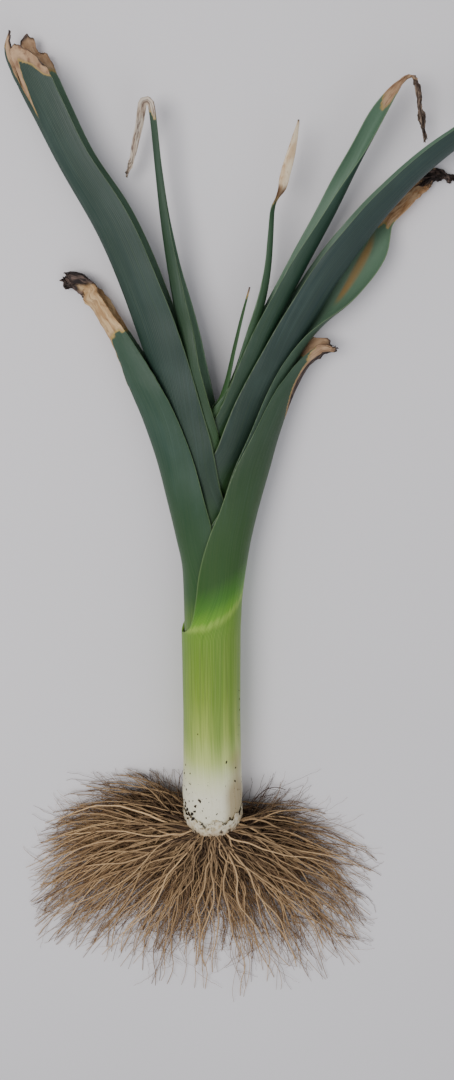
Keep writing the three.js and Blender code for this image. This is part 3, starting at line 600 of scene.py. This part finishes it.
def grown_object(name, points, faces, values):
    """A smooth-shaded object from points in growth millimetres, with its finish values on its points."""
    mesh = bpy.data.meshes.new(name)
    mesh.from_pydata(((points - np.array([0, RESTING_SPOT_Y, 0])) * MM).tolist(), [], faces)
    for key, value in values.items():
        mesh.attributes.new(key, "FLOAT", "POINT").data.foreach_set("value", value.astype(np.float32))
    mesh.shade_smooth()
    piece = bpy.data.objects.new(name, mesh)
    bpy.context.scene.collection.objects.link(piece)
    return piece


def mesh_piece(name, points, faces, values):
    """An object of quads, without the points that no quad uses."""
    used, faces = np.unique(faces, return_inverse=True)
    values = {key: value[used] for key, value in values.items()}
    piece = grown_object(name, points[used], faces.reshape(-1, 4).tolist(), values)
    piece.data.validate()
    return piece


def ring_faces(index):
    """The quads between each ring of points and the one after it."""
    beside = np.roll(index, -1, axis=-1)
    low, high = index[..., :-1, :], index[..., 1:, :]
    return joined(low, high, beside[..., 1:, :], beside[..., :-1, :]).reshape(-1, 4)


def dress(piece, material, node):
    """Gives a piece its finish and puts it in the place of its solid."""
    piece.data.materials.append(material)
    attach(piece, "root")
    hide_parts(node)


# Finishes

class Wire:
    """A shader node's output. Arithmetic on it adds Math nodes."""

    def __init__(self, finish, socket):
        self.finish = finish
        self.socket = socket

    def maths(self, operation, *values):
        return self.finish.node("ShaderNodeMath", {"operation": operation}, dict(enumerate(values)))

    def __add__(self, other):
        return self.maths("ADD", self, other)

    __radd__ = __add__

    def __sub__(self, other):
        return self.maths("SUBTRACT", self, other)

    def __rsub__(self, other):
        return self.maths("SUBTRACT", other, self)

    def __mul__(self, other):
        return self.maths("MULTIPLY", self, other)

    __rmul__ = __mul__

    def __truediv__(self, other):
        return self.maths("DIVIDE", self, other)

    def __pow__(self, other):
        return self.maths("POWER", self, other)

    def __abs__(self):
        return self.maths("ABSOLUTE", self)

    def sine(self):
        return self.maths("SINE", self)

    def between(self, low, high):
        """0 below low, 1 above high, smooth in between."""
        limits = {"Value": self, "From Min": low, "From Max": high}
        return self.finish.node("ShaderNodeMapRange", {"interpolation_type": "SMOOTHSTEP"}, limits)


class Finish:
    """A material being made."""

    def __init__(self, name, **constants):
        self.material = bpy.data.materials.new(name)
        self.material.use_nodes = True
        self.tree = self.material.node_tree
        self.shader = self.tree.nodes["Principled BSDF"]
        for key, value in constants.items():
            self.shader.inputs[key.replace("_", " ")].default_value = value

    def node(self, kind, settings=None, sockets=None, output=0):
        """Adds a node: its settings first, then the values or links of its sockets."""
        made = self.tree.nodes.new(kind)
        for key, value in (settings or {}).items():
            if key == "stops":
                ramp = made.color_ramp
                while len(ramp.elements) < len(value):
                    ramp.elements.new(1.0)
                for element, (position, colour) in zip(ramp.elements, value):
                    element.position = position
                    element.color = colour
            else:
                setattr(made, key, value)
        for key, value in (sockets or {}).items():
            if isinstance(value, Wire):
                self.tree.links.new(value.socket, made.inputs[key])
            else:
                made.inputs[key].default_value = value
        return Wire(self, made.outputs[output])

    def value(self, name):
        return self.node("ShaderNodeAttribute", {"attribute_name": name}, output="Fac")

    def vector(self, *parts):
        return self.node("ShaderNodeCombineXYZ", None, dict(enumerate(parts)))

    def noise(self, vector, scale, detail):
        return self.node("ShaderNodeTexNoise", None, {"Vector": vector, "Scale": scale, "Detail": detail})

    def mixed(self, factor, first, second):
        return self.node("ShaderNodeMix", {"data_type": "RGBA"}, {0: factor, 6: first, 7: second}, output=2)

    def layered(self, base, *layers):
        """A colour with others laid over it in their order, each as (share, colour)."""
        for share, colour in layers:
            base = self.mixed(share, base, colour)
        return base

    def place(self):
        return self.node("ShaderNodeTexCoord", output="Object")

    def feed(self, **links):
        for key, wire in links.items():
            self.tree.links.new(wire.socket, self.shader.inputs[key.replace("_", " ")])
        return self.material

    def bump(self, height, distance, strength):
        sockets = {"Height": height, "Distance": distance, "Strength": strength}
        return self.node("ShaderNodeBump", None, sockets)


def leaf_finish(node, look, seed):
    """White foot, green blade under a waxy bloom, parallel veins, and a papery dried tip."""
    finish = Finish(f"{node}_skin", Specular_IOR_Level=0.36)
    rise, vein, across, dry, burnt, climb, patch = (finish.value(name) for name in LEAF_VALUES)
    inner = finish.value("inner")

    def grain(across_veins, along_veins, shift, detail):
        place = finish.vector(vein * across_veins, rise * along_veins, seed + shift)
        return finish.noise(place, 1.0, detail)

    streaks = grain(0.55, 0.012, 0, 4.0)
    fine_streaks = grain(1.7, 0.01, 5, 2.0)
    patches = grain(0.05, 0.03, 9, 4.0)
    blotches = grain(0.24, 0.16, 3, 5.0)
    bands = grain(0.13, 0.004, 12, 2.0)
    stains = grain(0.16, 0.09, 21, 5.0)
    stops = [(position / LONGEST_RISE, srgb(*colour)) for position, colour in look["rises"]]
    climbed = (climb + (streaks - 0.5) * 11) / LONGEST_RISE
    ribs = (vein * (math.tau / 1.1) + (patches - 0.5) * 5).sine() * 0.5 + 0.5
    lined = ribs ** 2 * (fine_streaks.between(0.3, 0.7) * 0.85 + 0.15)
    dark_lines = fine_streaks.between(0.54, 0.68) * (1 - ribs * 0.5)
    pale_zone = rise.between(50, 110) * (1 - rise.between(190, 230))
    foot = 1 - rise.between(20, 90)
    waxy = rise.between(240, 330) * (1 - inner)
    bloom = (patches.between(0.4, 0.75) * 0.6 + streaks.between(0.5, 0.75) * 0.6) * waxy
    edge = abs(across).between(0.975, 0.998) * rise.between(170, 230) * (0.35 + patches * 0.8)
    rim = dry.between(0.02, 0.3) * (1 - dry.between(0.4, 0.9))
    pale, middle, stained, patched = (srgb(*colour) for colour in PAPERS[look["paper"]])
    fresh = finish.layered(
        finish.node("ShaderNodeValToRGB", {"stops": stops}, {0: climbed}),
        (bands.between(0.44, 0.6) * pale_zone * 0.6, srgb(82, 122, 14)),
        (streaks.between(0.42, 0.72) * pale_zone * 0.4, srgb(84, 122, 30)),
        (lined * (0.035 + pale_zone * 0.34), srgb(196, 208, 116)),
        (dark_lines * (0.07 + pale_zone * 0.55), srgb(50, 80, 20)),
        (foot * blotches.between(0.52, 0.72) * 0.3, srgb(188, 176, 142)),
        (bloom * 0.14, srgb(104, 124, 118)),
        # Inner faces high up the blade are painted lighter: painted light where the near half of the blade
        # shades them.
        (inner * rise.between(300, 400) * 0.7, srgb(98, 128, 104)),
        (edge * 0.4, srgb(140, 162, 110)),
        # The patch: a stain, except on the outermost right leaf, where it is partly stain and partly painted
        # shade down the bulb's right side.
        (patch * (0.6 + streaks * 0.4), patched),
        (rim * 0.8, srgb(170, 142, 64)))
    spots = look.get("spots", USUAL_SPOTS)
    charred, singed = (srgb(*colour) for colour in look.get("scorch", USUAL_SCORCH))
    paper = finish.layered(
        pale,
        (stains.between(0.36, 0.62), middle),
        (lined * 0.2, pale),
        (blotches.between(spots, spots + 0.22) * 0.8, stained),
        (patch, patched),
        (burnt, finish.mixed(blotches.between(0.42, 0.66), charred, singed)))
    return finish.feed(
        Base_Color=finish.mixed(dry, fresh, paper),
        Roughness=0.42 + bloom * 0.16 + dry * 0.36 + streaks * 0.08,
        Normal=finish.bump(lined * 0.6 + streaks * 0.4 + dry * blotches * 2, 0.00022, 0.7))


def grow_leaf(leaf, order):
    node = leaf["node"]
    look = LOOKS[node]
    seed = 100 + 17 * order
    grid = leaf_grid(leaf, order)
    wave_margins(grid, seed)
    tear_end(grid, look, seed)
    crumple(grid, look, seed)
    grid["outer"][..., 2] = np.maximum(grid["outer"][..., 2], LOWEST_OUTER)
    grid["inner"][..., 2] = np.maximum(grid["inner"][..., 2], LOWEST_INNER)
    note_values(grid, look, seed)
    dress(leaf_mesh(f"{node}_grown", grid), leaf_finish(node, look, seed), node)


# Roots

def root_reach(angle):
    angles, reach = np.array(ROOT_REACH, float).T
    return np.interp(angle, angles, reach)


def strands_mesh(name, paths, radii, sides, values):
    """Thin tubes along paths, an array of strands by joints by xyz, each closed at its ends."""
    shape = (*paths.shape[:2], sides)
    ahead = unit(np.gradient(paths, axis=1))
    aside = unit(np.cross(ahead, np.array([0.02, 0.01, 1.0])))
    above = np.cross(aside, ahead)
    turn = np.arange(sides) / sides * math.tau
    rim = aside[:, :, None] * np.cos(turn)[:, None] + above[:, :, None] * np.sin(turn)[:, None]
    points = paths[:, :, None] + rim * radii[:, :, None, None]
    index = np.arange(math.prod(shape)).reshape(shape)
    faces = ring_faces(index).tolist() + index[:, 0].tolist() + index[:, -1, ::-1].tolist()
    values = {key: np.broadcast_to(value[..., None], shape).ravel() for key, value in values.items()}
    return grown_object(name, points.reshape(-1, 3), faces, values)


def on_floor(angle):
    """The way at an angle from straight back, right being positive, along the surface."""
    return joined(np.sin(angle), -np.cos(angle), 0)


def sway_roots(paths, run, heading, random):
    """Lets roots wander, the more the further they are from the crown. run is the length up to a joint."""
    across = joined(np.cos(heading), np.sin(heading), 0)
    sway = np.zeros_like(run)
    lift = np.zeros_like(run)
    for wavelength, amount in ROOT_SWAY:
        size = amount * random.uniform(0.3, 1.0, (ROOT_COUNT, 1))
        phase = random.uniform(0, math.tau, (ROOT_COUNT, 1))
        scale = math.tau / (wavelength * random.uniform(0.75, 1.3, (ROOT_COUNT, 1)))
        sway += size * np.sin(phase + scale * run)
        lift += 0.25 * size * np.sin(2 * phase + scale * run * 1.3)
    rooted = smooth_step(0, ROOTED_LENGTH, run)
    paths = paths + across[:, None] * (sway * rooted)[..., None]
    paths[..., 2] += lift * rooted * 0.6
    return paths


def root_paths():
    """Each root's joints, and at each joint its radius, its tone and its length up to there."""
    random = np.random.default_rng(ROOT_SEED)
    count = ROOT_COUNT
    share = (np.arange(count) + random.random(count)) / count
    angles, up_to = np.array(ROOT_SHARES, float).T
    angle = np.interp(share, up_to, angles) + random.normal(0, 4, count)
    heading = np.radians(angle)
    sideways = smooth_step(5, 40, np.abs(angle))
    long = random.random(count) < LONG_ROOTS + 0.1 * sideways
    common = 0.4 + 0.1 * sideways + (0.42 + 0.04 * sideways) * random.random(count)
    reach = root_reach(angle) * np.where(long, random.uniform(0.8, 0.99, count), common)
    start_out = CROWN_RADIUS * np.sqrt(random.random(count))
    start_turn = random.uniform(0, math.tau, count)
    start = joined(
        0.5 * start_out * np.cos(start_turn) + 9 * np.sin(heading),
        0.6 - 2.5 * (1 - start_out / CROWN_RADIUS),
        AXIS_HEIGHT + start_out * np.sin(start_turn))
    end = on_floor(heading) * reach[:, None]
    end[:, 2] = 0.8 + 2.2 * random.random(count)
    high = (start[:, 2] - AXIS_HEIGHT) / CROWN_RADIUS
    turned = np.clip(1.35 * heading + random.normal(0, 0.3, count), -1.8, 1.7)
    leave = start + joined(LEAVING_REACH * np.sin(turned), -LEAVING_REACH * np.cos(turned), 9 * high + 5)
    droop = heading * random.uniform(1.02, 1.3, count)
    land = on_floor(droop) * (reach * random.uniform(0.4, 0.7, count))[:, None]
    on_top = random.random(count)
    land[:, 2] = LANDING_HEIGHT + LAYERS_HEIGHT * on_top ** 1.5
    along = np.linspace(0, 1, ROOT_JOINTS)[None, :]
    t = along[..., None]
    paths = ((1 - t) ** 3 * start[:, None] + 3 * t * (1 - t) ** 2 * leave[:, None]
             + 3 * t ** 2 * (1 - t) * land[:, None] + t ** 3 * end[:, None])
    run = reach[:, None] * along
    paths = sway_roots(paths, run, heading, random)
    radius = random.uniform(*ROOT_RADII, (count, 1)) * (1 - 0.6 * along ** 1.3)
    radius = radius * (0.8 + 0.5 * on_top[:, None])
    # Roots higher in the mop get a paler tone and those under them a darker one: painted light and shade by
    # height in the mop, on top of a random tone.
    tone = (0.35 * random.random(count) + 0.65 * on_top ** 1.3)[:, None]
    return paths, radius, np.broadcast_to(tone, run.shape), run


def within(paths, radius, low, high, seed):
    """Keeps strands on the surface and in the root mop's room. One that would leave it is made shorter."""
    random = np.random.default_rng(seed)
    start = paths[:, :1]
    share = np.ones(len(paths))
    for axis in range(2):
        across = paths[..., axis] - start[..., axis]
        room_ahead = high[axis] - 1 - start[:, 0, axis]
        room_behind = start[:, 0, axis] - low[axis] - 1
        share = np.minimum(share, room_ahead / np.maximum(across.max(axis=1), 1e-6))
        share = np.minimum(share, room_behind / np.maximum(-across.min(axis=1), 1e-6))
    share = np.where(share < 1, np.maximum(share, 0) * random.uniform(0.8, 1, len(paths)), 1)
    paths[..., :2] = start[..., :2] + (paths[..., :2] - start[..., :2]) * share[:, None, None]
    for axis in range(3):
        paths[..., axis] = np.clip(paths[..., axis], low[axis] + radius, high[axis] - radius)
    return paths


def hair_paths(paths, tone, run):
    """Side roots, finer than the roots that they branch from."""
    random = np.random.default_rng(ROOT_SEED + 1)
    each = (HAIR_COUNT, 1)
    parent = random.integers(0, len(paths), HAIR_COUNT)
    joint = random.integers(int(ROOT_JOINTS * 0.2), ROOT_JOINTS - 2, HAIR_COUNT)
    start = paths[parent, joint]
    onward = unit(paths[parent, joint + 1] - start)
    turned = random.choice([-1, 1], HAIR_COUNT) * random.uniform(0.2, 1.0, HAIR_COUNT)
    heading = np.arctan2(onward[:, 0], -onward[:, 1]) + turned
    reach = random.uniform(*HAIR_REACH, HAIR_COUNT)
    t = np.linspace(0, 1, HAIR_JOINTS)[None, :]
    bend = heading[:, None] + random.uniform(-0.9, 0.9, each) * t
    step = reach[:, None] / (HAIR_JOINTS - 1)
    x = np.cumsum(np.sin(bend) * step, axis=1) - np.sin(bend[:, :1]) * step
    y = np.cumsum(-np.cos(bend) * step, axis=1) + np.cos(bend[:, :1]) * step
    wobble = 0.8 * np.sin(random.uniform(0, 6.28, each) + reach[:, None] * t * 0.5) * t
    fall = start[:, 2:] + (0.5 + 2 * random.random(each) - start[:, 2:]) * t
    hairs = joined(
        start[:, :1] + x + wobble * np.cos(bend), start[:, 1:2] + y + wobble * np.sin(bend), fall)
    radius = random.uniform(*HAIR_RADII, each) * (1 - 0.5 * t)
    # Side roots take 0.7 of their root's tone, which holds that painted light and shade.
    hair_tone = np.broadcast_to(tone[parent, :1] * 0.7, (HAIR_COUNT, HAIR_JOINTS))
    return hairs, radius, hair_tone, run[parent, joint][:, None] + reach[:, None] * t


def root_finish():
    """Tan fibres, paler on top of the mop and darker under it as painted light and shade, and darker near
    the crown, partly soil and partly painted shade.
    """
    finish = Finish("root_fibre", Specular_IOR_Level=0.25)
    tone = finish.value("tone")
    run = finish.value("run")
    grain = finish.noise(finish.place(), 900.0, 3.0)
    # tone mixes dark into pale: a random tone, with painted light on top of the mop and painted shade under
    # it.
    colour = finish.mixed(tone ** 1.3, srgb(82, 56, 38), srgb(226, 190, 142))
    colour = finish.mixed(grain.between(0.35, 0.7) * 0.4, colour, srgb(128, 90, 60))
    # Darker near the crown, most on roots low in the mop: partly soil, partly painted shade in the mop's
    # core.
    colour = finish.mixed((1 - run.between(20, 170)) * (1 - tone ** 1.7) * 0.95, colour, srgb(46, 32, 24))
    return finish.feed(
        Base_Color=colour, Roughness=0.72 + grain * 0.2, Normal=finish.bump(grain, 0.0003, 0.6))


def grow_roots():
    low, high = (np.array(corner) / MM + np.array([0, RESTING_SPOT_Y, 0]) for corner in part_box("roots"))
    low = low + BOX_MARGIN
    high = high - BOX_MARGIN
    paths, radius, tone, run = root_paths()
    paths = within(paths, radius, low, high, ROOT_SEED + 2)
    finish = root_finish()
    roots = strands_mesh("roots_main", paths, radius, ROOT_SIDES, {"tone": tone, "run": run})
    dress(roots, finish, "roots")
    paths, radius, tone, run = hair_paths(paths, tone, run)
    paths = within(paths, radius, low, high, ROOT_SEED + 3)
    hairs = strands_mesh("roots_side_hairs", paths, radius, HAIR_SIDES, {"tone": tone, "run": run})
    dress(hairs, finish, "roots")


def turned_points(radius, height, angle):
    """Points about the shaft's axis, the angle counted from the right over the top."""
    return joined(radius * np.cos(angle), height, AXIS_HEIGHT + radius * np.sin(angle))


def grow_plate():
    """The basal plate: a knobbly disc turned about the shaft's axis."""
    radius, height = (column[:, None] for column in np.array(PLATE_PROFILE, float).T)
    angle = np.arange(PLATE_SIDES) / PLATE_SIDES * math.tau
    knobs = 0.4 * waves(turned_points(radius, height, angle), 4, 5) * (radius > 5)
    points = turned_points(radius + knobs, height, angle).reshape(-1, 3)
    index = np.arange(len(points)).reshape(-1, PLATE_SIDES)
    turned_over = [0, 3, 2, 1]
    faces = ring_faces(index)[:, turned_over].tolist() + [index[0, ::-1].tolist(), index[-1].tolist()]
    plate = grown_object("basal_plate", points, faces, {})
    dress(plate, cork_finish("crown_cork", srgb(58, 42, 32), srgb(150, 124, 92)), "roots")


def cork_finish(name, dark, pale):
    """Corky tissue with soil in its hollows."""
    finish = Finish(name, Specular_IOR_Level=0.2)
    lumps = finish.noise(finish.place(), 260.0, 5.0)
    colour = finish.mixed(lumps.between(0.35, 0.65), dark, pale)
    return finish.feed(
        Base_Color=colour, Roughness=0.8 + lumps * 0.15, Normal=finish.bump(lumps, 0.002, 0.8))


def bud_finish():
    """Cream buds with soil between them."""
    finish = Finish("bud_cream", Specular_IOR_Level=0.3)
    grain = finish.noise(finish.place(), 500.0, 4.0)
    colour = finish.mixed(finish.value("tone"), srgb(206, 194, 166), srgb(160, 134, 100))
    colour = finish.mixed(grain.between(0.5, 0.68), colour, srgb(66, 48, 36))
    return finish.feed(
        Base_Color=colour, Roughness=0.6 + grain * 0.2, Normal=finish.bump(grain, 0.0005, 0.6))


def grow_buds():
    """Short blunt root buds that push out between the plate's rim and the bulb."""
    random = np.random.default_rng(BUD_SEED)
    angle = (np.arange(BUD_COUNT) + random.uniform(-0.4, 0.4, BUD_COUNT)) / BUD_COUNT * math.tau
    out = random.uniform(*BUD_PLACES, BUD_COUNT)
    start = turned_points(out, random.uniform(*BUD_HEIGHTS, BUD_COUNT), angle)
    reach = random.uniform(*BUD_REACH, BUD_COUNT)
    slant = random.uniform(*BUD_SLANT, BUD_COUNT)
    way = unit(joined(slant * np.cos(angle), -1, slant * np.sin(angle)))
    share = np.linspace(0, 1, BUD_JOINTS)
    paths = start[:, None] + (way * reach[:, None])[:, None] * share[None, :, None]
    blunt = np.sqrt(np.clip(1 - share ** 3, 0.02, 1))
    radii = random.uniform(*BUD_RADII, BUD_COUNT)[:, None] * blunt[None, :]
    tone = np.broadcast_to(random.random(BUD_COUNT)[:, None], radii.shape)
    dress(strands_mesh("root_buds", paths, radii, BUD_SIDES, {"tone": tone}), bud_finish(), "roots")


def foot_corner(height):
    """How much further out the torn sheath stands at the bulb's foot, which squares it off."""
    return FOOT_CORNER * smooth_step(CORNER_TOP, CORNER_FOOT, height)


def torn_finish():
    """Thin tan skin, dirty where it hollows and towards its foot."""
    finish = Finish("torn_skin", Specular_IOR_Level=0.3)
    share = finish.value("share")
    hollow = 1 - finish.value("hollow").between(-0.4, 0.05)
    grain = finish.noise(finish.place(), 300.0, 5.0)
    colour = finish.mixed(grain.between(0.35, 0.7), srgb(210, 203, 180), srgb(178, 160, 124))
    colour = finish.mixed((1 - share.between(0.0, 0.6)) * 0.7, colour, srgb(150, 122, 88))
    dirt = grain.between(0.46, 0.6) * (hollow * 0.8 + (1 - share.between(0.0, 0.4)) * 0.7)
    colour = finish.mixed(dirt, colour, srgb(54, 42, 32))
    return finish.feed(
        Base_Color=colour, Roughness=0.6 + grain * 0.25, Normal=finish.bump(grain, 0.0006, 0.7))


def grow_torn_sheath():
    """What is left of an older sheath: a thin torn skin round the bulb's foot, lumpy and fringed below."""
    shape = (TORN_ROWS, TORN_COLUMNS)
    angle = np.arange(TORN_COLUMNS) / TORN_COLUMNS * math.tau
    around = joined(np.cos(angle) * TORN_RADIUS, np.sin(angle) * TORN_RADIUS)
    edge = (amount * waves(around, wavelength, seed) for wavelength, amount, seed in TORN_EDGE)
    top = sum(edge, TORN_TOP)
    foot = TORN_FOOT + 0.8 * waves(around, 6, 64) + 1.5 * np.abs(waves(around, 1.7, 65))
    share = np.linspace(0, 1, TORN_ROWS)[:, None]
    height = foot + (np.maximum(top, foot + LEAST_TORN_HEIGHT) - foot) * share
    place = turned_points(TORN_RADIUS, height, angle[None, :])
    pleats = (0.6 - np.abs(waves(around, 2.6, 67))) * (1 - share)
    lumps = waves(place, 8, 66) * 0.25 + pleats * 0.4
    lift = smooth_step(0.0, 0.3, 1 - share) * (1 - share) ** 0.7
    frayed = 0.25 * np.abs(waves(place, 3, 68)) * smooth_step(0.8, 1, share)
    outer = shaft_radius(height) + TORN_GAP + foot_corner(height) + lift * (0.8 + lumps) + frayed
    faces_of_skin = (outer, outer - TORN_THICKNESS)
    points = np.concatenate([turned_points(out, height, angle).reshape(-1, 3) for out in faces_of_skin])
    points[:, 2] = np.clip(points[:, 2], 0.05, TOP_OF_BULB)
    half = outer.size
    index = np.arange(half).reshape(shape)
    beside = np.roll(index, -1, axis=1)
    skin = ring_faces(index)
    faces = np.concatenate([
        skin, skin[:, ::-1] + half,
        joined(index[0], beside[0], beside[0] + half, index[0] + half),
        joined(beside[-1], index[-1], index[-1] + half, beside[-1] + half)])
    values = {"share": np.broadcast_to(share, shape), "hollow": lumps}
    values = {key: np.concatenate([value.ravel()] * 2) for key, value in values.items()}
    dress(mesh_piece("torn_sheath", points, faces, values), torn_finish(), "leaf_right_outer")


def scatter_crumbs():
    """Soil crumbs on the bulb, a few where they can be seen from afar and small ones all round."""
    random = np.random.default_rng(CRUMB_SEED)
    small = [
        (None, random.uniform(*SMALL_CRUMB_HEIGHTS), random.uniform(*SMALL_CRUMB_SIZES))
        for _ in range(SMALL_CRUMBS)]
    tilt = np.linspace(0, math.pi, CRUMB_ROWS)[:, None]
    spin = (np.arange(CRUMB_COLUMNS) / CRUMB_COLUMNS * math.tau)[None, :]
    ball = joined(np.sin(tilt) * np.cos(spin), np.sin(tilt) * np.sin(spin), np.cos(tilt))
    index = np.arange(CRUMB_ROWS * CRUMB_COLUMNS).reshape(CRUMB_ROWS, CRUMB_COLUMNS)
    points, faces = [], []
    for number, (x, height, size) in enumerate(CRUMBS + small):
        radius = float(shaft_radius(height) + foot_corner(height))
        if x is None:
            turn = random.uniform(0.1, math.pi - 0.1)
            size = size * SMALL_CRUMB_SCALE
        else:
            turn = math.acos(np.clip(x / radius, -0.98, 0.98))
            size = size * CRUMB_SCALE
        centre = turned_points(radius, height, turn)
        out = unit(centre - np.array([0, height, AXIS_HEIGHT]))
        along = unit(np.array([0.4 * random.normal(), 1.0, 0.4 * random.normal()]))
        aside = unit(np.cross(along, out))
        uneven = waves(ball + random.uniform(0, 99, 3), 1.1, int(random.integers(1e6)))
        lump = ball * (1 + 0.22 * uneven)[..., None]
        x_part, y_part, z_part = lump[..., :1], lump[..., 1:2], lump[..., 2:]
        body = centre + size * (x_part * aside * 0.5 + y_part * out * 0.4 + z_part * along)
        body[..., 2] = np.minimum(body[..., 2], TOP_OF_BULB)
        points.append(body.reshape(-1, 3))
        faces.append(ring_faces(index + number * index.size))
    crumbs = mesh_piece("soil_crumbs", np.concatenate(points), np.concatenate(faces), {})
    dress(crumbs, cork_finish("soil", srgb(24, 20, 17), srgb(70, 58, 46)), "leaf_right_outer")


for order, leaf in enumerate(LEAVES):
    grow_leaf(leaf, order)
grow_roots()
grow_plate()
grow_buds()
grow_torn_sheath()
scatter_crumbs()


# Floor, light and camera

def lay_floor():
    mesh = bpy.data.meshes.new("floor")
    corners = [(-1, -1), (1, -1), (1, 1), (-1, 1)]
    mesh.from_pydata([(x * FLOOR_REACH, y * FLOOR_REACH, 0) for x, y in corners], [], [(0, 1, 2, 3)])
    floor = bpy.data.objects.new("floor", mesh)
    bpy.context.scene.collection.objects.link(floor)
    finish = Finish("floor_pale", Roughness=0.75, Specular_IOR_Level=0.2)
    mottle = finish.noise(finish.place(), 3.0, 2.0)
    colour = finish.mixed(mottle, srgb(220, 217, 220), srgb(226, 223, 226))
    floor.data.materials.append(finish.feed(Base_Color=colour))


def soft_light(name, place, aim, size, power, colour):
    light = bpy.data.lights.new(name, "AREA")
    light.shape = "DISK"
    light.size = size
    light.energy = power
    light.color = colour
    lamp = bpy.data.objects.new(name, light)
    lamp.location = place
    lamp.rotation_euler = (Vector(aim) - Vector(place)).to_track_quat("-Z", "Y").to_euler()
    bpy.context.scene.collection.objects.link(lamp)


lay_floor()
for light in LIGHTS:
    soft_light(*light)

world = bpy.data.worlds.new("soft_room")
world.use_nodes = True
sky = world.node_tree.nodes["Background"].inputs
sky["Color"].default_value = SKY_COLOUR
sky["Strength"].default_value = SKY_STRENGTH
bpy.context.scene.world = world

camera_data = bpy.data.cameras.new("camera")
camera_data.lens = CAMERA_LENS
camera_data.sensor_width = SENSOR_WIDTH
camera = bpy.data.objects.new("camera", camera_data)
camera.location = CAMERA_PLACE
camera.rotation_euler = (math.radians(CAMERA_TILT), 0, 0)
bpy.context.scene.collection.objects.link(camera)
bpy.context.scene.camera = camera
